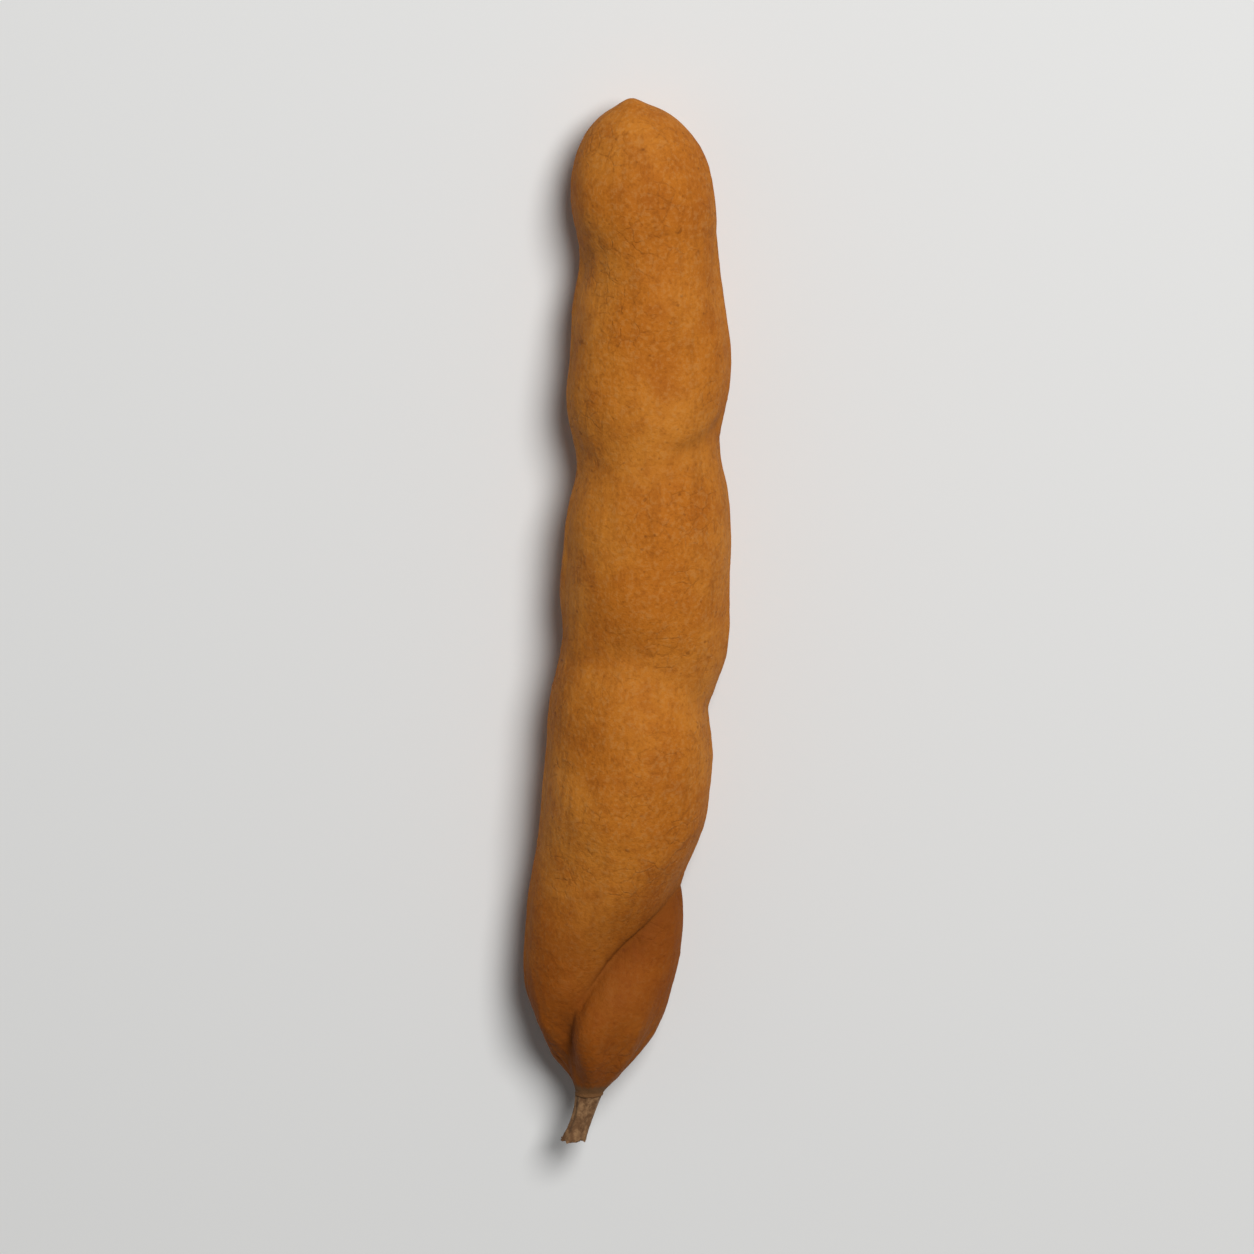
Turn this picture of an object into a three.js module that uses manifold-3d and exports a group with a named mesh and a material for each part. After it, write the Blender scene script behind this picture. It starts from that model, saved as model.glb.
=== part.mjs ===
// A tamarind pod, picked and dried, lying on its side. One closed solid, in millimetres, +Z up.
//
// The pod lies along Y with its blunt tip at +Y and the stub of its stalk at -Y. It bows gently
// towards +X. The side that faces up, +Z, carries the fold over the neck. The origin is on the
// surface that the pod rests on, under the middle of its bounding box.
//
// The skin is worked out from two numbers: the distance s along the pod from the tip, and the
// angle around it, which is 0 at +X, a quarter turn at +Z and half a turn at -X.

import * as THREE from "three";
import { mergeVertices } from "three/addons/utils/BufferGeometryUtils.js";
import Module from "manifold-3d";

const wasm = await Module();
wasm.setup();

// Driving dimensions
const POD_LENGTH = 119; // tip to the broken end of the stalk
const FATTEST_AT = 72; // distance from the tip to the fattest place
const FATTEST = 9.45; // half the width there
const FLATNESS = 0.9; // thickness over width of the body
const BOW_CENTRE = 34; // where the bow is furthest out towards +X
const BOW = 19.3; // how far the bow would carry a full pod length away from there
const REST_TRIM = 0.35; // how much of the lowest swellings is flattened where they rest

// The blunt tip, with the dried style as a small point on it, a little to the inner side
const TIP_ROUNDING = 14; // length of the rounded tip
const TIP_SLIMMING = 1.4; // how much slimmer the half width is where the rounding starts
const TIP_FULLNESS = 2.3; // higher is blunter
const TIP_SHOULDER = 2.3; // higher is squarer
const NUB_LENGTH = 0.8;
const NUB_RADIUS = 1.5;
const NUB_AT_X = -0.5;

// The neck, which closes onto the stalk
const NECK_FROM = 90;
const NECK_SLIMMING = 0.6; // how much slimmer the half width is where the neck starts
const NECK_FULLNESS = 3.3; // higher keeps the neck wide for longer
const NECK_CLOSING = 1.25; // higher closes it in a finer point
const NECK_FLATNESS = 0.74; // thickness over width where the neck is flattest
const NECK_FLATTENS_FROM = 80;
const NECK_ROUND_FROM = 98; // where it is flattest, and starts to turn round
const NECK_BEND = 1.75; // how far the neck is carried back towards +X
const NECK_BEND_FROM = 94;

// The stub of the stalk
const STALK_FROM = 113;
const STALK_RADIUS = 1.6;
const STALK_WAIST = 0.3; // how much slimmer it is half way along
const STALK_BEND = 0.7; // how far its broken end is carried towards -X

// The pinches between the seed chambers: place, depth, the share of it that is left on the outer
// edge, and how far and which way each one slants
const PINCHES = [
  { at: 17, depth: 1.2, outer: 0.2, slant: 1.6, lean: 2.4 },
  { at: 39.2, depth: 1.5, outer: 0.9, slant: 1.3, lean: 2.8 },
  { at: 64.3, depth: 1.35, outer: 0.95, slant: 5, lean: -0.6 },
];
const PINCH_INNER = 0.7; // the share of a pinch's depth that shows on the inner edge
const PINCH_WIDTH = 4.6;
const PINCH_ON_FACES = 0.55; // how deep a pinch is on the two broad faces, next to the edges

// The seeds, which swell the upper and lower faces of their chambers
const SEEDS = [
  { at: 8, swell: 0.35, reach: 7 },
  { at: 28, swell: 0.5, reach: 8 },
  { at: 52, swell: 0.55, reach: 9 },
  { at: 78, swell: 0.7, reach: 9 },
];
const SEED_LIFT = 0.6; // how much of the swelling lifts the middle line off the surface

// The two seams, which wander a little along the outer and the inner edge
const SEAM_RISE = 0.28;
const SEAM_WIDTH = 1.1;
const OUTER_SEAM = { angle: 0, sway: 0.06, rate: 0.11, start: 0 };
const INNER_SEAM = { angle: Math.PI, sway: 0.07, rate: 0.09, start: 1 };

// The fold where the rounded end of the last chamber bulges over the neck. It slants around from
// below to the top.
const FOLD_FROM = 88.8; // its place at +X
const FOLD_RUN = 8; // how much nearer the stalk it is where it ends, on top
const FOLD_RUN_BELOW = 3.5; // how much nearer the tip it is where it dies out, underneath
const FOLD_TURN = 1.5; // the angle that it covers above and below +X, in radians
const FOLD_FULL_AT = -0.3; // the angle from which it shows in full
const FOLD_CURVE = 1.65; // higher makes it turn more suddenly
const FOLD_FADES_FROM = 95; // where it starts to give way to the furrow
const FOLD_FADED_BY = 107;
const FOLD_ROUNDING = 1.8; // how far the end of the chamber rounds in towards it
const FOLD_ROUNDING_REACH = 9;
const FOLD_ROUNDING_CURVE = 1.6; // higher makes the rounding tighter
const FOLD_UNDER = 2.4; // how far the neck is sunk where it comes out, on top
const FOLD_UNDER_REACH = 7; // how slowly it comes up again
const EDGE_UNDER = 1.4; // the same two at the outer edge
const EDGE_UNDER_REACH = 6;
const FOLD_SOFTNESS = 1; // half the width of the step

// The furrow that splits the neck in two lobes. It starts along the fold and runs on to the stalk.
const FURROW_FROM = FOLD_FROM + FOLD_RUN; // where it leaves the fold
const FURROW_SHOWS_FROM = 96;
const FURROW_SHOWN_BY = 106;
const FURROW_TURN = 0.09; // how fast it turns towards -X, in radians per millimetre
const FURROW_DEPTH = 1.1;
const FURROW_WIDTH = 1.9;
const LOBES = [
  { across: 3.2, rise: 0.5, reach: 2 },
  { across: -4.4, rise: 0.55, reach: 2.8 },
];

// The shallow furrow under the neck
const UNDER_FURROW = { angle: -1.9, depth: 0.9, width: 2.1 };

// The small pleats where the neck closes
const PLEATS = 7;
const PLEAT_DEPTH = 0.28;
const PLEAT_TWIST = 0.12; // radians per millimetre
const PLEAT_FROM = 98;
const PLEAT_TO = 107.5; // where they are fully drawn

// Broad, shallow waves that keep the chambers from being alike
const WAVES = [
  { rise: 0.22, rate: 0.21, start: 1.3, around: 2, turn: 0.7 },
  { rise: 0.12, rate: 0.37, start: 0.4, around: 3, turn: 2.1 },
  { rise: 0.1, rate: 0.55, start: 2.2, around: 1, turn: 4 },
  { rise: 0.08, rate: 0.47, start: 5, around: 4, turn: 1.2 },
];

// The relief fades out towards the very tip and onto the stalk
const RELIEF_FROM = 8;
const RELIEF_FADE = 4;

// The faces: around the pod, and along its tip, body, neck and stalk
const AROUND = 50;
const TIP_RINGS = 11;
const TIP_CROWDING = 2.4; // higher puts more of the tip's rings at its very end
const BODY_RINGS = 48;
const NECK_RINGS = 37;
const NECK_RINGS_FROM = 86;
const STALK_RING_SHARES = [0.06, 0.25, 0.5, 0.75, 0.94, 1, 1];
const SAME_PLACE = 1e-4; // points closer than this are one

const clamp = THREE.MathUtils.clamp;
const lerp = THREE.MathUtils.lerp;
const smoothstep = THREE.MathUtils.smoothstep;
const bell = (x) => Math.exp(-x * x);

// The angle from one direction to another, between minus and plus half a turn.
function turnTo(angle, target) {
  return Math.atan2(Math.sin(angle - target), Math.cos(angle - target));
}

// How the half width grows from the very tip to where its rounding ends, from 0 to 1.
function tipOpening(s) {
  const left = 1 - clamp(s / TIP_ROUNDING, 0, 1);
  return Math.pow(1 - Math.pow(left, TIP_FULLNESS), 1 / TIP_SHOULDER);
}

// How the neck closes onto the stalk, from 1 to 0.
function neckOpening(s) {
  const closed = clamp((s - NECK_FROM) / (STALK_FROM - NECK_FROM), 0, 1);
  return Math.pow(1 - Math.pow(closed, NECK_FULLNESS), NECK_CLOSING);
}

function stalkRadius(s) {
  const along = clamp((s - STALK_FROM) / (POD_LENGTH - STALK_FROM), 0, 1);
  return STALK_RADIUS - STALK_WAIST * Math.sin(Math.PI * along);
}

// Half the width of the pod before any relief.
function halfWidth(s) {
  const towardsTip = s < FATTEST_AT;
  const reach = towardsTip ? FATTEST_AT - TIP_ROUNDING : NECK_FROM - FATTEST_AT;
  const slimming = towardsTip ? TIP_SLIMMING : NECK_SLIMMING;
  const far = clamp(Math.abs(s - FATTEST_AT) / reach, 0, 1);
  const slimmed = towardsTip ? far * far : smoothstep(far, 0, 1);
  const body = (FATTEST - slimming * slimmed) * tipOpening(s);
  return s > NECK_FROM ? lerp(stalkRadius(s), body, neckOpening(s)) : body;
}

// Thickness over width: flat in the body, flatter in the neck, round at the stalk.
function flatness(s) {
  const flattened = lerp(FLATNESS, NECK_FLATNESS, smoothstep(s, NECK_FLATTENS_FROM, NECK_ROUND_FROM));
  return lerp(flattened, 1, smoothstep(s, NECK_ROUND_FROM, STALK_FROM));
}

// How much of the relief shows: none on the stalk, and little at the very tip.
function reliefShare(s) {
  return smoothstep(s, 0, RELIEF_FROM) * (1 - smoothstep(s, STALK_FROM - RELIEF_FADE, STALK_FROM));
}

// The pinches between the chambers, deepest along the two edges.
function pinchRelief(s, angle) {
  const share = lerp(PINCH_ON_FACES, 1, Math.cos(angle) ** 2);
  let depth = 0;
  for (const pinch of PINCHES) {
    const at = pinch.at + pinch.slant * Math.cos(angle - pinch.lean);
    const side = lerp(PINCH_INNER, pinch.outer, 0.5 + 0.5 * Math.cos(angle));
    depth += side * pinch.depth * bell((s - at) / PINCH_WIDTH);
  }
  return -depth * share;
}

// How far the seeds swell the pod, each over its own reach times the spread.
function seedSwell(s, spread) {
  return SEEDS.reduce((sum, seed) => sum + seed.swell * bell((s - seed.at) / (seed.reach * spread)), 0);
}

function seamRelief(s, angle, half, seam) {
  const middle = seam.angle + seam.sway * Math.sin(seam.rate * s + seam.start);
  return SEAM_RISE * bell((turnTo(angle, middle) * half) / SEAM_WIDTH);
}

// The place of the fold at an angle from +X. Past its end on top, it goes on along the furrow.
function foldPlace(turn) {
  const along = Math.pow(clamp(Math.abs(turn) / FOLD_TURN, 0, 1), FOLD_CURVE);
  const alongFurrow = Math.max(turn - FOLD_TURN, 0) / FURROW_TURN;
  return FOLD_FROM + (turn > 0 ? FOLD_RUN : -FOLD_RUN_BELOW) * along + alongFurrow;
}

// The last chamber rounds in towards the fold, and the neck comes out from under it.
function foldRelief(s, angle) {
  const turn = turnTo(angle, 0);
  const past = s - foldPlace(turn);
  const below = smoothstep(turn, -FOLD_TURN, FOLD_FULL_AT);
  const left = 1 - smoothstep(s, FOLD_FADES_FROM, FOLD_FADED_BY);
  const under = 0.5 + 0.5 * Math.tanh(past / FOLD_SOFTNESS);
  const rounded = Math.pow(clamp(1 + past / FOLD_ROUNDING_REACH, 0, 1), FOLD_ROUNDING_CURVE);
  const onTop = Math.sin(angle) ** 2;
  const reach = lerp(EDGE_UNDER_REACH, FOLD_UNDER_REACH, onTop);
  const sunk = lerp(EDGE_UNDER, FOLD_UNDER, onTop) * Math.exp(-Math.max(past, 0) / reach);
  return -below * left * lerp(FOLD_ROUNDING * rounded, sunk, under);
}

// How far the furrow has turned towards -X since it left the fold.
function furrowTwist(s) {
  return FURROW_TURN * (clamp(s, FURROW_FROM, STALK_FROM) - FURROW_FROM);
}

// The angle of the furrow.
function furrowPlace(s) {
  const alongFold = clamp((s - FOLD_FROM) / FOLD_RUN, 0, 1);
  return FOLD_TURN * Math.pow(alongFold, 1 / FOLD_CURVE) + furrowTwist(s);
}

// The furrow with the two lobes beside it, and the shallower furrow underneath.
function furrowRelief(s, angle, half) {
  const shown = smoothstep(s, FURROW_SHOWS_FROM, FURROW_SHOWN_BY);
  const across = turnTo(angle, furrowPlace(s)) * half;
  const acrossBelow = turnTo(angle, UNDER_FURROW.angle) * half;
  let rise = -FURROW_DEPTH * bell(across / FURROW_WIDTH);
  rise -= UNDER_FURROW.depth * bell(acrossBelow / UNDER_FURROW.width);
  for (const lobe of LOBES) {
    rise += lobe.rise * bell((across - lobe.across) / lobe.reach);
  }
  return shown * rise;
}

function pleatRelief(s, angle) {
  const shown = smoothstep(s, PLEAT_FROM, PLEAT_TO);
  return shown * PLEAT_DEPTH * Math.cos(PLEATS * angle + PLEAT_TWIST * s);
}

function waveRelief(s, angle) {
  let rise = 0;
  for (const wave of WAVES) {
    rise += wave.rise * Math.sin(wave.rate * s + wave.start) * Math.cos(wave.around * angle + wave.turn);
  }
  return rise;
}

// How far the skin stands out from the plain form.
function relief(s, angle, half) {
  const skin =
    pinchRelief(s, angle) +
    seedSwell(s, 1) * Math.sin(angle) ** 2 +
    seamRelief(s, angle, half, OUTER_SEAM) +
    seamRelief(s, angle, half, INNER_SEAM) +
    foldRelief(s, angle) +
    furrowRelief(s, angle, half) +
    pleatRelief(s, angle) +
    waveRelief(s, angle);
  return skin * reliefShare(s);
}

// The middle line of the pod: bowed in the plane that it lies in, and as high as the body is thick.
function spine(s) {
  const stalkShare = clamp((s - STALK_FROM) / (POD_LENGTH - STALK_FROM), 0, 1);
  const neckBend = NECK_BEND * smoothstep(s, NECK_BEND_FROM, STALK_FROM);
  const x = neckBend - BOW * ((s - BOW_CENTRE) / POD_LENGTH) ** 2 - STALK_BEND * stalkShare ** 2;
  const z = FLATNESS * halfWidth(clamp(s, TIP_ROUNDING, NECK_FROM)) + SEED_LIFT * seedSwell(s, 2);
  return new THREE.Vector3(x, -s, z);
}

// How far the dried style carries a point of the tip outwards.
function nubRise(s, x, z) {
  return s < TIP_ROUNDING ? NUB_LENGTH * bell(Math.hypot(x - NUB_AT_X, z) / NUB_RADIUS) : 0;
}

// A point of the skin. At the two closed ends it is on the middle line.
function skinPoint(s, angle, closed) {
  const half = closed ? 0 : halfWidth(s);
  const raised = closed ? 0 : relief(s, angle, half);
  const x = (half + raised) * Math.cos(angle);
  const z = (half * flatness(s) + raised) * Math.sin(angle);
  return spine(s).add(new THREE.Vector3(x, nubRise(s, x, z), z));
}

// The distances from the tip of the rings of faces, closer together at both ends.
function ringPlaces() {
  const places = [];
  for (let i = 0; i < TIP_RINGS; i += 1) {
    places.push(TIP_ROUNDING * Math.pow(i / TIP_RINGS, TIP_CROWDING));
  }
  for (let i = 0; i < BODY_RINGS; i += 1) {
    places.push(lerp(TIP_ROUNDING, NECK_RINGS_FROM, i / BODY_RINGS));
  }
  for (let i = 0; i <= NECK_RINGS; i += 1) {
    places.push(lerp(NECK_RINGS_FROM, STALK_FROM, i / NECK_RINGS));
  }
  for (const share of STALK_RING_SHARES) {
    places.push(lerp(STALK_FROM, POD_LENGTH, share));
  }
  return places;
}

// A sphere's faces, each ring moved to its own place along the pod. The columns of faces follow
// the furrow, so that its line is clean.
function podSkin() {
  const places = ringPlaces();
  const rings = places.length - 1;
  const ball = new THREE.SphereGeometry(1, AROUND, rings);
  const position = ball.getAttribute("position");
  const step = (2 * Math.PI) / AROUND;
  for (let i = 0; i < position.count; i += 1) {
    const ring = Math.round((Math.acos(clamp(position.getY(i), -1, 1)) / Math.PI) * rings);
    const column = Math.round(Math.atan2(position.getZ(i), position.getX(i)) / step);
    const s = places[ring];
    const closed = ring === 0 || ring === rings;
    const point = skinPoint(s, step * column + furrowTwist(s), closed);
    position.setXYZ(i, point.x, point.y, point.z);
  }
  return ball;
}

function toSolid(geometry) {
  const bare = geometry.clone();
  bare.deleteAttribute("normal");
  bare.deleteAttribute("uv");
  const merged = mergeVertices(bare, SAME_PLACE);
  const vertProperties = new Float32Array(merged.getAttribute("position").array);
  const triVerts = new Uint32Array(merged.index.array);
  return new wasm.Manifold(new wasm.Mesh({ numProp: 3, vertProperties, triVerts }));
}

function toGeometry(solid) {
  const mesh = solid.getMesh();
  const geometry = new THREE.BufferGeometry();
  geometry.setAttribute("position", new THREE.BufferAttribute(new Float32Array(mesh.vertProperties), 3));
  geometry.setIndex(new THREE.BufferAttribute(new Uint32Array(mesh.triVerts), 1));
  geometry.computeVertexNormals();
  return geometry;
}

// Moves the pod over the origin, with its lowest swellings REST_TRIM below the surface.
function settle(solid) {
  const box = solid.boundingBox();
  const x = -(box.min[0] + box.max[0]) / 2;
  const y = -(box.min[1] + box.max[1]) / 2;
  return solid.translate([x, y, -box.min[2] - REST_TRIM]);
}

// What lies below the surface is cut away, so that the pod rests on small flat spots.
function belowSurface() {
  const side = 2 * POD_LENGTH;
  const block = new THREE.BoxGeometry(side, side, side);
  block.translate(0, 0, -side / 2);
  return toSolid(block);
}

function shellMaterial() {
  return new THREE.MeshStandardMaterial({
    color: 0xa9672c,
    roughness: 0.85,
    metalness: 0,
    flatShading: true,
  });
}

const podSolid = settle(toSolid(podSkin())).subtract(belowSurface());
const pod = new THREE.Mesh(toGeometry(podSolid), shellMaterial());
pod.name = "pod";

const tamarind = new THREE.Group();
tamarind.add(pod);

export default tamarind;
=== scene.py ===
import math

import bpy
import numpy as np
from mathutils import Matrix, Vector, noise


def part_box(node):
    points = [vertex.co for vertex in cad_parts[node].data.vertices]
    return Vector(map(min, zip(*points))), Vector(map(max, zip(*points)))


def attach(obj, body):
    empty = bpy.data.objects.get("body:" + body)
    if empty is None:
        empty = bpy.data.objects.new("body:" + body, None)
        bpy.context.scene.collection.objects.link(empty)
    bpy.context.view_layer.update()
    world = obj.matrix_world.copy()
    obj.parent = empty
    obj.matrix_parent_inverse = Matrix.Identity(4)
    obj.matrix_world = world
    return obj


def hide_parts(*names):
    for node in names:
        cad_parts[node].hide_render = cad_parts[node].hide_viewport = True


# A dried tamarind pod lying on its side: its scurfy shell, and the woody stub of its stalk.
#
# The shell follows the pod in the frame and adds what is too fine for it: a crisp fold and furrow,
# dents, creases, fibres and grain. A point of it is given by the distance s from the tip and by the
# angle around the pod, which is 0 at +X and a quarter turn at +Z.

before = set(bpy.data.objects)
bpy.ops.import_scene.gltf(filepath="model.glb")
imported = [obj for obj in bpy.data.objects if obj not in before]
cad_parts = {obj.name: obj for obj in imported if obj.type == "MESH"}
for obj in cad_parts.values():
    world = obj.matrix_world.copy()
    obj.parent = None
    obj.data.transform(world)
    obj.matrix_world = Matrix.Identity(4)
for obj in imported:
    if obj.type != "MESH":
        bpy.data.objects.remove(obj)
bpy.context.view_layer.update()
pod_low, pod_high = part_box("pod")

# Sizes of the pod are in millimetres of one that is POD_SPAN from end to end, and MM turns them
# into metres of the pod in the frame.
POD_SPAN = 119.72
MM = (pod_high.y - pod_low.y) / POD_SPAN

# The body, as in the frame
POD_LENGTH = 119
FATTEST_AT = 72
FATTEST = 9.45
FLATNESS = 0.9
BOW_CENTRE = 34
BOW = 19.3
REST_TRIM = 0.35
TIP_ROUNDING = 14
TIP_SLIMMING = 1.4
TIP_FULLNESS = 2.3
TIP_SHOULDER = 2.3
NUB_LENGTH = 0.8
NUB_RADIUS = 1.5
NUB_AT_X = -0.5
NECK_FROM = 90
NECK_SLIMMING = 0.6
NECK_FULLNESS = 3.3
NECK_CLOSING = 1.25
NECK_FLATNESS = 0.74
NECK_FLATTENS_FROM = 80
NECK_ROUND_FROM = 98
NECK_BEND = 1.75
NECK_BEND_FROM = 94
STALK_FROM = 113
STALK_RADIUS = 1.6
STALK_WAIST = 0.3
STALK_BEND = 0.7

PINCHES = [
    {"at": 17, "depth": 1.2, "outer": 0.2, "slant": 1.6, "lean": 2.4},
    {"at": 39.2, "depth": 1.5, "outer": 0.9, "slant": 1.3, "lean": 2.8},
    {"at": 64.3, "depth": 1.35, "outer": 0.95, "slant": 5, "lean": -0.6},
]
PINCH_INNER = 0.7
PINCH_WIDTH = 4.6
PINCH_ON_FACES = 0.55

SEEDS = [
    {"at": 8, "swell": 0.35, "reach": 7},
    {"at": 28, "swell": 0.5, "reach": 8},
    {"at": 52, "swell": 0.55, "reach": 9},
    {"at": 78, "swell": 0.7, "reach": 9},
]
SEED_LIFT = 0.6

SEAM_RISE = 0.28
SEAM_WIDTH = 1.1
OUTER_SEAM = {"angle": 0, "sway": 0.06, "rate": 0.11, "start": 0}
INNER_SEAM = {"angle": math.pi, "sway": 0.07, "rate": 0.09, "start": 1}

FOLD_FROM = 88.8
FOLD_RUN = 8
FOLD_RUN_BELOW = 3.5
FOLD_TURN = 1.5
FOLD_FULL_AT = -0.3
FOLD_CURVE = 1.65
FOLD_FADES_FROM = 95
FOLD_FADED_BY = 107
FOLD_ROUNDING = 1.8
FOLD_ROUNDING_REACH = 9
FOLD_ROUNDING_CURVE = 1.6
FOLD_UNDER = 2.4
FOLD_UNDER_REACH = 7
EDGE_UNDER = 1.4
EDGE_UNDER_REACH = 6

FURROW_FROM = FOLD_FROM + FOLD_RUN
FURROW_SHOWS_FROM = 96
FURROW_SHOWN_BY = 106
FURROW_TURN = 0.09
FURROW_DEPTH = 1.1
FURROW_WIDTH = 1.9
LOBES = [
    {"across": 3.2, "rise": 0.5, "reach": 2},
    {"across": -4.4, "rise": 0.55, "reach": 2.8},
]
UNDER_FURROW = {"angle": -1.9, "depth": 0.9, "width": 2.1}

PLEATS = 7
PLEAT_DEPTH = 0.28
PLEAT_TWIST = 0.12
PLEAT_FROM = 98
PLEAT_TO = 107.5

WAVES = [
    {"rise": 0.22, "rate": 0.21, "start": 1.3, "around": 2, "turn": 0.7},
    {"rise": 0.12, "rate": 0.37, "start": 0.4, "around": 3, "turn": 2.1},
    {"rise": 0.1, "rate": 0.55, "start": 2.2, "around": 1, "turn": 4},
    {"rise": 0.08, "rate": 0.47, "start": 5, "around": 4, "turn": 1.2},
]
RELIEF_FROM = 8
RELIEF_FADE = 4

# What the shell adds to that form
FOLD_SOFTNESS = 0.9  # half the width of the step
FOLD_ROLL = 0.4  # how far the lip above the fold rolls over it
FOLD_ROLL_REACH = 0.6
CREASE_DEPTH = 0.18  # the sharp creases at the bottom of the fold and of the furrow
CREASE_WIDTH = 0.8
CREASE_AT_EDGE = 0.3  # the share of the fold's crease that is left on the outer edge
CREASE_IN_FURROW = 0.35  # the same for the furrow's
REDDER_AND_SHADED_FROM = 80  # where the skin starts to turn redder and darker towards the neck, partly its own colour and partly painted shade
REDDER_AND_SHADED_TO = 101
REDDER_AND_SHADED_BY_FOLD = 0.75  # how much redder and darker it is at the fold
REDDER_AND_SHADED_ACROSS_FOLD = 1.5  # half the length over which the rest of it comes in, across the fold

# Painted shade in the hollows, in place of the shade and the shadow that fall there: where it starts
# before the fold and is full past it, how slowly it lifts from there, and its share in the furrow and
# in the pinches
PAINTED_SHADE_FROM = -2
PAINTED_SHADE_FULL_AT = 0.4
PAINTED_SHADE_REACH = 2.6
PAINTED_SHADE_IN_FURROW = 0.6
PAINTED_SHADE_WIDTH_IN_FURROW = 0.9 * FURROW_WIDTH
PAINTED_SHADE_IN_PINCH = 0.15

# The finest relief: how high each kind is, and how large its lumps are
DENT_RISE = 0.11
DENT_SIZE = 7.5
SMALL_DENT_RISE = 0.05
SMALL_DENT_SIZE = 2.4
GRAIN_RISE = 0.024
GRAIN_SIZE = 0.85
FIBRE_RISE = 0.02
FIBRE_RISE_ON_NECK = 0.08
FIBRES_FULL_AT = 107  # where the neck's fibres are as high as that
FIBRE_SIZE = np.array([0.8, 0.8, 11])  # across the pod twice, and along it
WRINKLE_RISE = 0.05
WRINKLE_SIZE = np.array([4, 4, 0.9])
WART_RISE = 0.06
WART_SIZE = 1.3
WARTS_FROM = 0.42  # the noise at which a wart starts, and at which it is full
WARTS_FULL_AT = 0.7
FINE_RELIEF_LEFT = 0.3  # the share of it that is left at the very tip and at the rim
FIBRE_RADIUS = 9  # the pattern of the fibres is wrapped on a cylinder of this radius
FIBRE_STRETCH = 12  # how much longer than wide they are

# Short creases across the skin: the distances from the tip and the angles of their two ends
SHORT_CREASES = [
    {"s": (36, 37.6), "turn": (0.25, 1.15), "depth": 0.3, "width": 1.1},
    {"s": (68.6, 66.2), "turn": (-0.1, 0.7), "depth": 0.16, "width": 1.1},
    {"s": (15.2, 18.2), "turn": (2.3, 2.9), "depth": 0.2, "width": 1.4},
    {"s": (39.6, 38.4), "turn": (2.3, 2.9), "depth": 0.14, "width": 1.3},
    {"s": (60.2, 62), "turn": (1.7, 2.6), "depth": 0.16, "width": 1.3},
]
SEAM_GROOVE = 0.1  # the fine groove along each seam
SEAM_GROOVE_WIDTH = 0.3
RIM_REACH = 2.2  # how far the woody colour of the stalk reaches up the shell

# The rim around the stalk, closed inside: how far past the stalk's start each ring is, and its radius
RIM = [(0.16, 1.64), (0.3, 1.6), (0.36, 1.5), (0.3, 1.34), (0, 1.2), (-0.8, 0.8), (-1, 0)]

# The faces of the shell
AROUND = 224
TIP_RINGS = 48
TIP_CROWDING = 2
BODY_RINGS = 244
NECK_RINGS = 118
NECK_RINGS_FROM = 86

# The stub of the stalk
STUB_FROM = 111.5
STUB_SIDES = 48
STUB_STEPS = 26
STUB_SLIMMER = 0.12  # how much slimmer it is than in the frame, which leaves room for its ridges
STUB_RIDGES = 8
STUB_RIDGE = 0.1
STUB_RIDGE_TWIST = 0.5  # radians per millimetre
BARK_RISE = 0.05
BARK_LUMPS = 3  # across the stub
BARK_STRETCH = 1.2
BREAK_FROM = 1  # how far from its end it starts to splinter
BREAK_FULL_AT = 0.5
BREAK_INSET = 0.28
BREAK_STEPS = (0.05, -0.1, 0.15, -0.2)  # how far out each inset of the broken end is moved
SPLINTER_RISE = 0.45
SPLINTER_SIZE = 0.45

# How far the noise is moved from one seed to the next
SEED_SHIFT = Vector((17.3, -5.1, 9.7))


def bell(x):
    return np.exp(-x * x)


def mixed(first, second, share):
    return first + (second - first) * share


def eased(x, start, end):
    """0 up to start, 1 from end on, and an even curve between."""
    t = np.clip((x - start) / (end - start), 0, 1)
    return t * t * (3 - 2 * t)


def turn_to(angle, target):
    """The angle from one direction to another, between minus and plus half a turn."""
    return np.arctan2(np.sin(angle - target), np.cos(angle - target))


# The form of the pod, as in the frame


def stalk_radius(s):
    along = np.clip((s - STALK_FROM) / (POD_LENGTH - STALK_FROM), 0, 1)
    return STALK_RADIUS - STALK_WAIST * np.sin(math.pi * along)


def half_width(s):
    """Half the width of the pod before any relief."""
    reach = np.where(s < FATTEST_AT, FATTEST_AT - TIP_ROUNDING, NECK_FROM - FATTEST_AT)
    slimming = np.where(s < FATTEST_AT, TIP_SLIMMING, NECK_SLIMMING)
    far = np.clip(np.abs(s - FATTEST_AT) / reach, 0, 1)
    slimmed = np.where(s < FATTEST_AT, far**2, eased(far, 0, 1))
    left = 1 - np.clip(s / TIP_ROUNDING, 0, 1)
    body = (FATTEST - slimming * slimmed) * (1 - left**TIP_FULLNESS) ** (1 / TIP_SHOULDER)
    closed = np.clip((s - NECK_FROM) / (STALK_FROM - NECK_FROM), 0, 1)
    return mixed(stalk_radius(s), body, (1 - closed**NECK_FULLNESS) ** NECK_CLOSING)


def flatness(s):
    flattened = mixed(FLATNESS, NECK_FLATNESS, eased(s, NECK_FLATTENS_FROM, NECK_ROUND_FROM))
    return mixed(flattened, 1, eased(s, NECK_ROUND_FROM, STALK_FROM))


def pinch_depth(s, angle):
    share = mixed(PINCH_ON_FACES, 1, np.cos(angle) ** 2)
    depth = 0
    for pinch in PINCHES:
        at = pinch["at"] + pinch["slant"] * np.cos(angle - pinch["lean"])
        side = mixed(PINCH_INNER, pinch["outer"], 0.5 + 0.5 * np.cos(angle))
        depth = depth + side * pinch["depth"] * bell((s - at) / PINCH_WIDTH)
    return depth * share


def seed_swell(s, spread):
    return sum(seed["swell"] * bell((s - seed["at"]) / (seed["reach"] * spread)) for seed in SEEDS)


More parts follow.
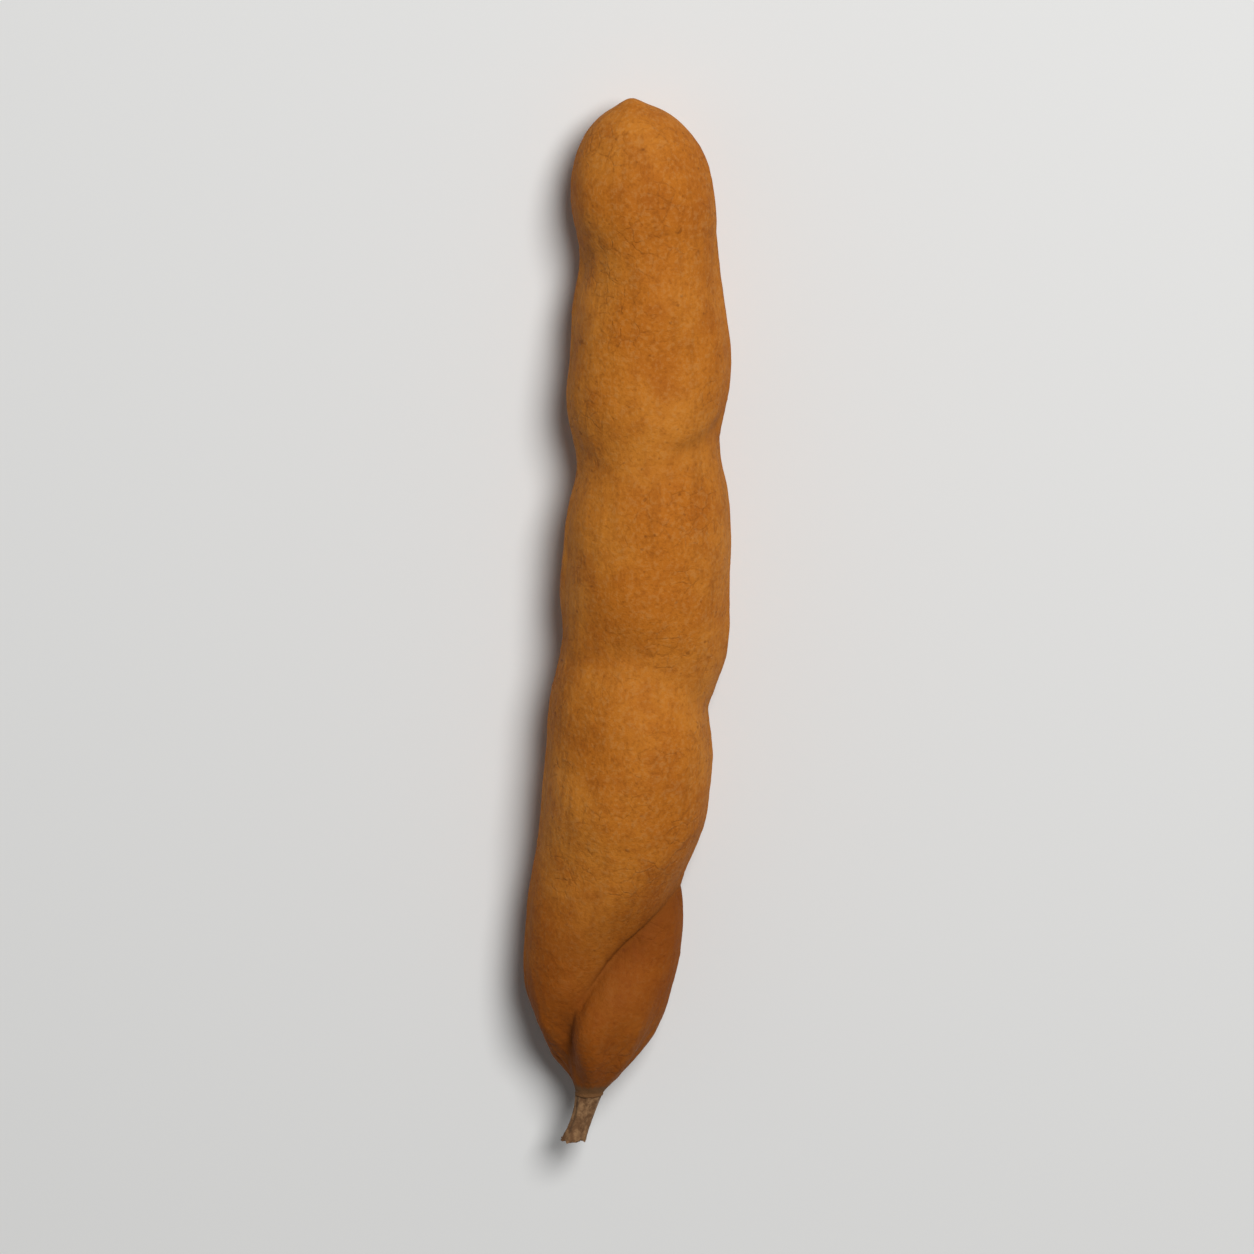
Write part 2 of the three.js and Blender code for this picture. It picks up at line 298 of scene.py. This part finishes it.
def across_seam(s, angle, half, seam):
    """The distance around the pod from a seam."""
    middle = seam["angle"] + seam["sway"] * np.sin(seam["rate"] * s + seam["start"])
    return turn_to(angle, middle) * half


def past_fold(s, angle):
    """How far a point is past the fold, and how much of the fold shows at its angle."""
    turn = turn_to(angle, 0)
    along = np.clip(np.abs(turn) / FOLD_TURN, 0, 1) ** FOLD_CURVE
    place = FOLD_FROM + np.where(turn > 0, FOLD_RUN, -FOLD_RUN_BELOW) * along
    place = place + np.maximum(turn - FOLD_TURN, 0) / FURROW_TURN
    below = eased(turn, -FOLD_TURN, FOLD_FULL_AT)
    return s - place, below * (1 - eased(s, FOLD_FADES_FROM, FOLD_FADED_BY))


def fold_rise(s, angle):
    past, shown = past_fold(s, angle)
    under = 0.5 + 0.5 * np.tanh(past / FOLD_SOFTNESS)
    rounded = np.clip(1 + past / FOLD_ROUNDING_REACH, 0, 1) ** FOLD_ROUNDING_CURVE
    on_top = np.sin(angle) ** 2
    reach = mixed(EDGE_UNDER_REACH, FOLD_UNDER_REACH, on_top)
    sunk = mixed(EDGE_UNDER, FOLD_UNDER, on_top) * np.exp(-np.maximum(past, 0) / reach)
    return -shown * mixed(FOLD_ROUNDING * rounded, sunk, under)


def furrow_twist(s):
    return FURROW_TURN * (np.clip(s, FURROW_FROM, STALK_FROM) - FURROW_FROM)


def furrow_place(s):
    """The angle of the furrow, which starts along the fold."""
    along_fold = np.clip((s - FOLD_FROM) / FOLD_RUN, 0, 1) ** (1 / FOLD_CURVE)
    return FOLD_TURN * along_fold + furrow_twist(s)


def across_furrow(s, angle, half):
    """The distance around the pod from the furrow, and how much of the furrow shows."""
    across = turn_to(angle, furrow_place(s)) * half
    return across, eased(s, FURROW_SHOWS_FROM, FURROW_SHOWN_BY)


def furrow_rise(s, angle, half):
    across, shown = across_furrow(s, angle, half)
    across_below = turn_to(angle, UNDER_FURROW["angle"]) * half
    rise = -FURROW_DEPTH * bell(across / FURROW_WIDTH)
    rise = rise - UNDER_FURROW["depth"] * bell(across_below / UNDER_FURROW["width"])
    for lobe in LOBES:
        rise = rise + lobe["rise"] * bell((across - lobe["across"]) / lobe["reach"])
    return shown * rise


def pleat_rise(s, angle):
    shown = eased(s, PLEAT_FROM, PLEAT_TO)
    return shown * PLEAT_DEPTH * np.cos(PLEATS * angle + PLEAT_TWIST * s)


def wave_rise(s, angle):
    rise = 0
    for wave in WAVES:
        along = np.sin(wave["rate"] * s + wave["start"])
        rise = rise + wave["rise"] * along * np.cos(wave["around"] * angle + wave["turn"])
    return rise


def relief_share(s):
    return eased(s, 0, RELIEF_FROM) * (1 - eased(s, STALK_FROM - RELIEF_FADE, STALK_FROM))


def relief(s, angle, half):
    """How far the skin stands out from the plain form."""
    rise = seed_swell(s, 1) * np.sin(angle) ** 2 - pinch_depth(s, angle)
    for seam in (OUTER_SEAM, INNER_SEAM):
        rise = rise + SEAM_RISE * bell(across_seam(s, angle, half, seam) / SEAM_WIDTH)
    rise = rise + fold_rise(s, angle) + furrow_rise(s, angle, half)
    rise = rise + pleat_rise(s, angle) + wave_rise(s, angle)
    return rise * relief_share(s)


def spine(s):
    """The middle line of the pod, as three columns."""
    bend = STALK_BEND * np.clip((s - STALK_FROM) / (POD_LENGTH - STALK_FROM), 0, 1) ** 2
    neck_bend = NECK_BEND * eased(s, NECK_BEND_FROM, STALK_FROM)
    x = neck_bend - BOW * ((s - BOW_CENTRE) / POD_LENGTH) ** 2 - bend
    z = FLATNESS * half_width(np.clip(s, TIP_ROUNDING, NECK_FROM)) + SEED_LIFT * seed_swell(s, 2)
    return np.stack([x, -s, z], axis=1)


# Pieces


def select_nothing():
    if bpy.context.object and bpy.context.object.mode != "OBJECT":
        bpy.ops.object.mode_set(mode="OBJECT")
    bpy.ops.object.select_all(action="DESELECT")


def read_points(piece):
    points = np.empty(3 * len(piece.data.vertices), np.float32)
    piece.data.vertices.foreach_get("co", points)
    return points.reshape(-1, 3).astype(float)


def write_points(piece, points):
    piece.data.vertices.foreach_set("co", points.astype(np.float32).ravel())
    piece.data.update()


def read_normals(piece):
    normals = np.empty(3 * len(piece.data.vertices), np.float32)
    piece.data.vertices.foreach_get("normal", normals)
    return normals.reshape(-1, 3).astype(float)


def write_attribute(piece, name, kind, values):
    made = piece.data.attributes.new(name, kind, "POINT")
    field = "vector" if kind == "FLOAT_VECTOR" else "value"
    made.data.foreach_set(field, values.astype(np.float32).ravel())


def cloud(points, size, octaves=1, seed=0):
    """Smooth noise at each point, about -1 to 1, with lumps of about that size."""
    shift = SEED_SHIFT * seed
    return np.array([noise.fractal(Vector(p) / size + shift, 1, 2, octaves) for p in points])


def ring_places():
    """The distances from the tip of the shell's rings, without those of its rim."""
    tip = TIP_ROUNDING * np.linspace(0, 1, TIP_RINGS, endpoint=False) ** TIP_CROWDING
    body = np.linspace(TIP_ROUNDING, NECK_RINGS_FROM, BODY_RINGS, endpoint=False)
    neck = np.linspace(NECK_RINGS_FROM, STALK_FROM, NECK_RINGS)
    return np.concatenate([tip, body, neck])


def plain_skin(s, angle, rim_radius):
    """Points of the skin in millimetres, before the finest relief."""
    on_rim = ~np.isnan(rim_radius)
    half = np.where(on_rim, rim_radius, half_width(s))
    raised = np.where(on_rim | (s == 0), 0, relief(s, angle, half))
    x = (half + raised) * np.cos(angle)
    z = (half * flatness(s) + raised) * np.sin(angle)
    nub = np.where(s < TIP_ROUNDING, NUB_LENGTH * bell(np.hypot(x - NUB_AT_X, z) / NUB_RADIUS), 0)
    past, shown = past_fold(s, angle)
    roll = FOLD_ROLL * shown * bell((past + FOLD_ROLL) / FOLD_ROLL_REACH)
    return spine(s) + np.stack([x, nub - roll, z], axis=1)


def creases(s, angle, half):
    """How much a point is in the fold's or the furrow's sharp crease, from 0 to 1."""
    past, fold_shown = past_fold(s, angle)
    across, furrow_shown = across_furrow(s, angle, half)
    in_fold = fold_shown * bell((past - CREASE_WIDTH) / CREASE_WIDTH)
    in_fold = in_fold * mixed(CREASE_AT_EDGE, 1, np.sin(angle) ** 2)
    in_furrow = furrow_shown * bell(across / CREASE_WIDTH) * relief_share(s)
    return np.maximum(in_fold, CREASE_IN_FURROW * in_furrow)


def in_short_crease(s, angle, half, crease):
    """How much a point is in a short crease, from 0 to 1."""
    (start, end), (first_turn, last_turn) = crease["s"], crease["turn"]
    turn = turn_to(angle, 0)
    share = np.clip((turn - first_turn) / (last_turn - first_turn), 0, 1)
    past_end = (turn - mixed(first_turn, last_turn, share)) * half
    off = np.hypot(s - mixed(start, end, share), past_end)
    return bell(off / crease["width"])


def fine_relief(points, s, angle, half):
    """Dents, fibres, creases and grain, in millimetres."""
    around = np.stack([np.cos(angle) * half, np.sin(angle) * half, s], axis=1)
    pinched = np.clip(pinch_depth(s, angle), 0, 1)
    fibre_rise = mixed(FIBRE_RISE, FIBRE_RISE_ON_NECK, eased(s, NECK_FROM, FIBRES_FULL_AT))
    dents = DENT_RISE * cloud(points, DENT_SIZE, 2, 1)
    dents = dents + SMALL_DENT_RISE * cloud(points, SMALL_DENT_SIZE, 2, 2)
    grain = GRAIN_RISE * cloud(points, GRAIN_SIZE, 2, 3)
    fibres = fibre_rise * cloud(around / FIBRE_SIZE, 1, 2, 4)
    wrinkles = WRINKLE_RISE * pinched * cloud(around / WRINKLE_SIZE, 1, 2, 5)
    warts = WART_RISE * eased(cloud(points, WART_SIZE, 1, 6), WARTS_FROM, WARTS_FULL_AT)
    grooves = 0
    for seam in (OUTER_SEAM, INNER_SEAM):
        grooves = grooves + SEAM_GROOVE * bell(across_seam(s, angle, half, seam) / SEAM_GROOVE_WIDTH)
    for crease in SHORT_CREASES:
        grooves = grooves + crease["depth"] * in_short_crease(s, angle, half, crease)
    rise = dents + grain + fibres + wrinkles + warts - grooves
    return rise - CREASE_DEPTH * creases(s, angle, half)


def shell_rings():
    """Each ring's distance from the tip, and its radius where it is on the rim."""
    places = ring_places()
    s = np.concatenate([places, STALK_FROM + np.array([past for past, radius in RIM])])
    rim_radius = np.concatenate([np.full(len(places), np.nan), [radius for past, radius in RIM]])
    return s, rim_radius


def ball_along_y(rings):
    """A sphere with its poles on Y. Returns it with the ring of each point, from +Y, and its angle."""
    select_nothing()
    tilt = (-math.pi / 2, 0, 0)
    bpy.ops.mesh.primitive_uv_sphere_add(segments=AROUND, ring_count=rings, radius=1, rotation=tilt)
    bpy.ops.object.transform_apply(rotation=True)
    piece = bpy.context.object
    ball = read_points(piece)
    ring = np.rint(np.arccos(np.clip(ball[:, 1], -1, 1)) / math.pi * rings).astype(int)
    return piece, ring, np.arctan2(ball[:, 2], ball[:, 0])


def shift_to_frame(points):
    """The way from the plain form's place to the frame's, in millimetres."""
    middle = (pod_low + pod_high) / (2 * MM)
    low, high = points.min(axis=0), points.max(axis=0)
    across = middle.x - (low[0] + high[0]) / 2
    return np.array([across, pod_high.y / MM - high[1], -REST_TRIM - low[2]])


def pod_shell():
    """The shell. Returns it with the shift from the plain form's place to the frame's."""
    s_of_ring, rim_of_ring = shell_rings()
    piece, ring, turn = ball_along_y(len(s_of_ring) - 1)
    piece.name = "pod_shell"
    s = s_of_ring[ring]
    rim_radius = rim_of_ring[ring]
    angle = turn + furrow_twist(s)
    points = plain_skin(s, angle, rim_radius)
    shift = shift_to_frame(points)
    points = points + shift
    write_points(piece, points)
    on_skin = np.isnan(rim_radius) * relief_share(s)
    rise = mixed(FINE_RELIEF_LEFT, 1, on_skin) * fine_relief(points, s, angle, half_width(s))
    points = points + rise[:, None] * read_normals(piece)
    points[:, 2] = np.maximum(points[:, 2], 0)
    write_points(piece, points * MM)
    write_patterns(piece, s, angle)
    bpy.ops.object.shade_smooth()
    return piece, shift


def write_patterns(piece, s, angle):
    """What the shell's finish reads: its fibres, its painted shade, and how much of the neck's redder
    colour and painted shade and of the stalk's woody colour each point gets.
    """
    write_attribute(piece, "fibre_place", "FLOAT_VECTOR", fibre_places(s, angle))
    write_attribute(piece, "painted_shade", "FLOAT", painted_shade_share(s, angle, half_width(s)))
    write_attribute(piece, "neck", "FLOAT", neck_colour_and_shade(s, angle))
    write_attribute(piece, "rim", "FLOAT", eased(s, STALK_FROM - RIM_REACH, STALK_FROM))


def fibre_places(s, angle):
    """Places in which the pod is a straight cylinder, much shortened, for the pattern of its fibres."""
    around = [FIBRE_RADIUS * np.cos(angle), FIBRE_RADIUS * np.sin(angle)]
    return np.stack([*around, s / FIBRE_STRETCH], axis=1)


def painted_shade_share(s, angle, half):
    """How much painted shade a point gets, from 0 on the open skin to 1 at the bottom of the fold:
    shade and shadow painted into the fold, the furrow, the pinches and the short creases.
    """
    past, fold_shown = past_fold(s, angle)
    across, furrow_shown = across_furrow(s, angle, half)
    lifting = np.exp(-np.maximum(past, 0) / PAINTED_SHADE_REACH)
    under_fold = fold_shown * eased(past, PAINTED_SHADE_FROM, PAINTED_SHADE_FULL_AT) * lifting
    in_furrow = PAINTED_SHADE_IN_FURROW * furrow_shown * bell(across / PAINTED_SHADE_WIDTH_IN_FURROW)
    pinched = PAINTED_SHADE_IN_PINCH * np.clip(pinch_depth(s, angle), 0, 1)
    for crease in SHORT_CREASES:
        pinched = pinched + crease["depth"] * in_short_crease(s, angle, half, crease)
    return np.clip(np.maximum(np.maximum(under_fold, in_furrow), pinched), 0, 1)


def neck_colour_and_shade(s, angle):
    """How much of the neck's redder colour and painted shade a point gets: 0 on the body, more towards
    the fold, and 1 on the neck below it.
    """
    past, fold_shown = past_fold(s, angle)
    below_fold = fold_shown * eased(past, -REDDER_AND_SHADED_ACROSS_FOLD, REDDER_AND_SHADED_ACROSS_FOLD)
    above_fold = REDDER_AND_SHADED_BY_FOLD * eased(s, REDDER_AND_SHADED_FROM, FURROW_FROM)
    return np.maximum(np.maximum(below_fold, above_fold), eased(s, FOLD_FROM, REDDER_AND_SHADED_TO))


def stalk_stub(shift):
    """The stub: a circle extruded along the spine, ridged, with a splintered end."""
    stations = np.linspace(STUB_FROM, POD_LENGTH - BREAK_FULL_AT, STUB_STEPS)
    middles = (spine(stations) + shift) * MM
    select_nothing()
    bpy.ops.mesh.primitive_circle_add(
        vertices=STUB_SIDES,
        radius=STALK_RADIUS * MM,
        fill_type="NGON",
        location=middles[0],
        rotation=(math.pi / 2, 0, 0),
    )
    bpy.ops.object.transform_apply(location=True, rotation=True)
    piece = bpy.context.object
    piece.name = "stalk_stub"
    bpy.ops.object.mode_set(mode="EDIT")
    bpy.ops.mesh.select_all(action="SELECT")
    for before, after in zip(middles[:-1], middles[1:]):
        move = {"value": tuple(after - before)}
        bpy.ops.mesh.extrude_region_move(TRANSFORM_OT_translate=move)
    for step in BREAK_STEPS:
        bpy.ops.mesh.inset(thickness=BREAK_INSET * MM, depth=step * MM)
    bpy.ops.mesh.select_all(action="SELECT")
    bpy.ops.mesh.normals_make_consistent(inside=False)
    bpy.ops.object.mode_set(mode="OBJECT")
    shape_stub(piece, shift)
    return piece


def shape_stub(piece, shift):
    points = read_points(piece) / MM - shift
    s = -points[:, 1]
    middle = spine(s)
    out = points - middle
    angle = np.arctan2(out[:, 2], out[:, 0])
    reach = np.hypot(out[:, 0], out[:, 2]) / STALK_RADIUS
    ridges = STUB_RIDGE * np.cos(STUB_RIDGES * angle + STUB_RIDGE_TWIST * s)
    around = [BARK_LUMPS * np.cos(angle), BARK_LUMPS * np.sin(angle)]
    bark = BARK_RISE * cloud(np.stack([*around, s / BARK_STRETCH], axis=1), 1, 2, 7)
    radius = (stalk_radius(s) - STUB_SLIMMER + ridges + bark) * reach
    broken = eased(s, POD_LENGTH - BREAK_FROM, POD_LENGTH - BREAK_FULL_AT)
    splinters = SPLINTER_RISE * broken * cloud(points, SPLINTER_SIZE, 2, 8)
    points[:, 0] = middle[:, 0] + radius * np.cos(angle)
    points[:, 2] = middle[:, 2] + radius * np.sin(angle)
    points[:, 1] = np.maximum(points[:, 1] + splinters, -POD_LENGTH)
    write_points(piece, (points + shift) * MM)
    bpy.ops.object.shade_smooth_by_angle(angle=math.radians(50))


# Shader maths


class Value:
    """A number, colour or place that varies over a surface. Arithmetic on it adds Math nodes."""

    def __init__(self, finish, socket):
        self.finish = finish
        self.socket = socket

    def maths(self, operation, first, second):
        return self.finish.node("ShaderNodeMath", {"operation": operation}, {0: first, 1: second})

    def __add__(self, other):
        return self.maths("ADD", self, other)

    __radd__ = __add__

    def __sub__(self, other):
        return self.maths("SUBTRACT", self, other)

    def __rsub__(self, other):
        return self.maths("SUBTRACT", other, self)

    def __mul__(self, other):
        return self.maths("MULTIPLY", self, other)

    __rmul__ = __mul__

    def eased(self, start, end):
        """0 up to start, 1 from end on, and an even curve between."""
        settings = {"interpolation_type": "SMOOTHSTEP"}
        inputs = {"Value": self, "From Min": start, "From Max": end}
        return self.finish.node("ShaderNodeMapRange", settings, inputs)


class Finish:
    """A material. node() takes a node's type, its settings, and the values or links of its inputs."""

    def __init__(self, name):
        self.material = bpy.data.materials.new(name)
        self.material.use_nodes = True
        self.tree = self.material.node_tree
        self.tree.nodes.clear()

    def node(self, kind, settings=None, inputs=None, output=0):
        made = self.tree.nodes.new(kind)
        for key, value in (settings or {}).items():
            setattr(made, key, value)
        for key, value in (inputs or {}).items():
            if isinstance(value, Value):
                self.tree.links.new(value.socket, made.inputs[key])
            else:
                made.inputs[key].default_value = value
        return Value(self, made.outputs[output])

    def place(self):
        """Places on the piece, in millimetres of the pod."""
        metres = self.node("ShaderNodeTexCoord", output="Object")
        inputs = {0: metres, "Scale": 1 / MM}
        return self.node("ShaderNodeVectorMath", {"operation": "SCALE"}, inputs)

    def attribute(self, name, output="Fac"):
        return self.node("ShaderNodeAttribute", {"attribute_name": name}, output=output)

    def cloud(self, place, size, detail=2, seed=0):
        """Noise from 0 to 1, about 0.5, with lumps of about that size."""
        inputs = {"Vector": place, "W": seed, "Scale": 1 / size, "Detail": detail, "Roughness": 0.5}
        return self.node("ShaderNodeTexNoise", {"noise_dimensions": "4D"}, inputs)

    def swirled(self, place, size, reach):
        """The place, carried about by noise."""
        inputs = {"Vector": place, "Scale": 1 / size, "Detail": 2}
        swirl = self.node("ShaderNodeTexNoise", inputs=inputs, output="Color")
        inputs = {0: swirl, 1: (reach, reach, reach), 2: place}
        return self.node("ShaderNodeVectorMath", {"operation": "MULTIPLY_ADD"}, inputs)

    def from_cell_edge(self, place, size):
        """0 at the edges of irregular cells of about that size, and more inside them."""
        inputs = {"Vector": place, "Scale": 1 / size}
        return self.node("ShaderNodeTexVoronoi", {"feature": "DISTANCE_TO_EDGE"}, inputs)

    def mix(self, first, second, share):
        settings = {"data_type": "RGBA"}
        return self.node("ShaderNodeMix", settings, {0: share, 6: first, 7: second}, output=2)

    def bump(self, height):
        """Relief in millimetres."""
        return self.node("ShaderNodeBump", inputs={"Height": height, "Strength": 1, "Distance": MM})

    def surface(self, inputs):
        shader = self.node("ShaderNodeBsdfPrincipled", inputs=inputs)
        end = self.tree.nodes.new("ShaderNodeOutputMaterial")
        self.tree.links.new(shader.socket, end.inputs["Surface"])
        return self.material


def colour(red, green, blue):
    """A colour from its screen values, 0 to 255, as linear values."""
    shares = [value / 255 for value in (red, green, blue)]
    linear = [v / 12.92 if v <= 0.04045 else ((v + 0.055) / 1.055) ** 2.4 for v in shares]
    return (*linear, 1)


CINNAMON = colour(180, 104, 25)
OCHRE = colour(194, 120, 38)
RUSSET = colour(152, 78, 14)
SIENNA = colour(120, 54, 3)
UMBER = colour(86, 40, 8)
DUST = colour(198, 148, 88)
BARK = colour(112, 80, 50)

# The patterns of the skin: the size of their lumps, and how high they stand, in millimetres
CLOUD_SIZE = 13
CRACKED_PATCH_SIZE = 7
BLOTCH_SIZE = 4.6
CRACKLE_SIZE = 1.7
CRACKLE_SWIRL_SIZE = 1.4
CRACKLE_SWIRL = 0.9  # how far it carries the edges of the crackle
MOTTLE_SIZE = 1.5
SPECK_SIZE = 0.8
SCURF_SIZE = 0.42
PORE_SIZE = 0.17
MOTTLE_HEIGHT = 0.08
SCURF_HEIGHT = 0.1
PORE_HEIGHT = 0.04
FIBRE_HEIGHT = 0.04
CRACK_DEPTH = 0.035

STALK_LIGHT = colour(148, 112, 76)
STALK_BROWN = colour(104, 72, 44)
STALK_DARK = colour(70, 44, 24)
STALK_MOTTLE_SIZE = 0.7
STALK_GRAIN_SIZE = 0.2
STALK_MOTTLE_HEIGHT = 0.06
STALK_GRAIN_HEIGHT = 0.04


def shell_finish():
    finish = Finish("tamarind_shell")
    place = finish.place()
    fibre_place = finish.attribute("fibre_place", "Vector")
    painted_shade = finish.attribute("painted_shade")
    neck = finish.attribute("neck")
    rim = finish.attribute("rim")
    clouds = finish.cloud(place, CLOUD_SIZE, 3, 1)
    blotches = finish.cloud(place, BLOTCH_SIZE, 3, 2)
    mottle = finish.cloud(place, MOTTLE_SIZE, 3, 3)
    scurf = finish.cloud(place, SCURF_SIZE, 3, 4)
    specks = finish.cloud(place, SPECK_SIZE, 1, 5)
    fibres = finish.cloud(fibre_place, 1, 3, 6)
    pores = finish.cloud(place, PORE_SIZE, 2, 8)
    swirled = finish.swirled(place, CRACKLE_SWIRL_SIZE, CRACKLE_SWIRL)
    crackle = finish.from_cell_edge(swirled, CRACKLE_SIZE)
    cracked = finish.cloud(place, CRACKED_PATCH_SIZE, 2, 9).eased(0.45, 0.6)
    cracks = (1 - crackle.eased(0, 0.09)) * cracked * (0.35 + 0.65 * mottle.eased(0.4, 0.55))
    # the skin outside the painted shade, where the dust and the wear show
    unshaded_skin = 1 - painted_shade
    skin = finish.mix(CINNAMON, OCHRE, clouds.eased(0.38, 0.62))
    skin = finish.mix(skin, RUSSET, 0.42 * blotches.eased(0.48, 0.72))
    skin = finish.mix(skin, RUSSET, 0.26 * mottle.eased(0.44, 0.7))
    skin = finish.mix(skin, UMBER, 0.16 * fibres.eased(0.5, 0.72))
    skin = finish.mix(skin, UMBER, 0.4 * specks.eased(0.68, 0.78))
    skin = finish.mix(skin, UMBER, 0.18 * cracks)
    skin = finish.mix(skin, DUST, 0.2 * scurf.eased(0.48, 0.66) * unshaded_skin)
    skin = finish.mix(skin, UMBER, 0.2 * (1 - scurf.eased(0.32, 0.48)))
    # redder and darker towards the neck: partly the neck's own colour, partly painted shade
    skin = finish.mix(skin, SIENNA, 0.7 * neck)
    # painted shade in the fold, the furrow, the pinches and the short creases, and painted shadow under
    # the fold's lip
    skin = finish.mix(skin, UMBER, 0.55 * painted_shade)
    skin = finish.mix(skin, BARK, 0.9 * (rim + 0.7 * (fibres - 0.5)).eased(0.3, 0.75))
    worn = clouds.eased(0.55, 0.7) * unshaded_skin
    height = MOTTLE_HEIGHT * mottle + SCURF_HEIGHT * scurf + PORE_HEIGHT * pores
    height = height + FIBRE_HEIGHT * fibres - CRACK_DEPTH * cracks
    inputs = {
        "Base Color": skin,
        "Roughness": 0.8 + 0.16 * (scurf - 0.5) - 0.1 * worn,
        "Specular IOR Level": 0.14,
        "Sheen Weight": 0.06,
        "Sheen Roughness": 0.5,
        "Sheen Tint": DUST,
        "Normal": finish.bump(height),
    }
    return finish.surface(inputs)


def stalk_finish():
    finish = Finish("tamarind_stalk")
    place = finish.place()
    mottle = finish.cloud(place, STALK_MOTTLE_SIZE, 3, 1)
    grain = finish.cloud(place, STALK_GRAIN_SIZE, 2, 2)
    skin = finish.mix(STALK_BROWN, STALK_LIGHT, mottle.eased(0.35, 0.65))
    skin = finish.mix(skin, STALK_DARK, 0.5 * grain.eased(0.52, 0.7))
    inputs = {
        "Base Color": skin,
        "Roughness": 0.8 + 0.1 * grain,
        "Specular IOR Level": 0.3,
        "Normal": finish.bump(STALK_MOTTLE_HEIGHT * mottle + STALK_GRAIN_HEIGHT * grain),
    }
    return finish.surface(inputs)


def floor_finish():
    finish = Finish("pale_floor")
    inputs = {"Base Color": (0.77, 0.77, 0.76, 1), "Roughness": 0.7, "Specular IOR Level": 0.2}
    return finish.surface(inputs)


# Camera, light and floor

VIEW_TILT = math.radians(13.1)  # from straight above, towards the tip
VIEW_DISTANCE = 1.8
VIEW_HEIGHT = 1.17 * (pod_high.y - pod_low.y)  # what the image covers, along the pod
SENSOR = 36
CLIP_START = 0.05
CLIP_END = 20

# Each light's direction from the pod, its distance and width in metres, and its power in watts
KEY = {"direction": (0.27, 0.46, 0.95), "distance": 0.9, "width": 0.4, "power": 7.8}
FILL = {"direction": (-0.9, 0.2, 0.6), "distance": 1.2, "width": 0.9, "power": 0.3}
SKY_STRENGTH = 0.1
FLOOR_WIDTH = 8


def camera(target):
    data = bpy.data.cameras.new("camera")
    data.sensor_width = SENSOR
    data.lens = SENSOR * VIEW_DISTANCE / VIEW_HEIGHT
    made = bpy.data.objects.new("camera", data)
    bpy.context.scene.collection.objects.link(made)
    back = Vector((0, math.sin(VIEW_TILT), math.cos(VIEW_TILT)))
    made.location = target + VIEW_DISTANCE * back
    made.rotation_euler = (-VIEW_TILT, 0, 0)
    data.clip_start = CLIP_START
    data.clip_end = CLIP_END
    bpy.context.scene.camera = made


def soft_light(name, light, target):
    data = bpy.data.lights.new(name, "AREA")
    data.shape = "DISK"
    data.size = light["width"]
    data.energy = light["power"]
    made = bpy.data.objects.new(name, data)
    bpy.context.scene.collection.objects.link(made)
    away = Vector(light["direction"]).normalized()
    made.location = target + light["distance"] * away
    made.rotation_mode = "QUATERNION"
    made.rotation_quaternion = away.to_track_quat("Z", "Y")


def studio(target):
    soft_light("key", KEY, target)
    soft_light("fill", FILL, target)
    world = bpy.data.worlds.new("studio")
    world.use_nodes = True
    background = world.node_tree.nodes["Background"]
    background.inputs["Color"].default_value = (1, 1, 1, 1)
    background.inputs["Strength"].default_value = SKY_STRENGTH
    bpy.context.scene.world = world
    bpy.context.scene.view_settings.view_transform = "Standard"


def floor():
    select_nothing()
    bpy.ops.mesh.primitive_plane_add(size=FLOOR_WIDTH, location=(0, 0, 0))
    made = bpy.context.object
    made.name = "floor"
    made.data.materials.append(floor_finish())


def put_on(piece, finish):
    piece.data.materials.clear()
    piece.data.materials.append(finish)
    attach(piece, "root")
    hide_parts("pod")


centre = (pod_low + pod_high) / 2
camera(centre)
studio(centre)
floor()
shell, pod_shift = pod_shell()
put_on(shell, shell_finish())
put_on(stalk_stub(pod_shift), stalk_finish())
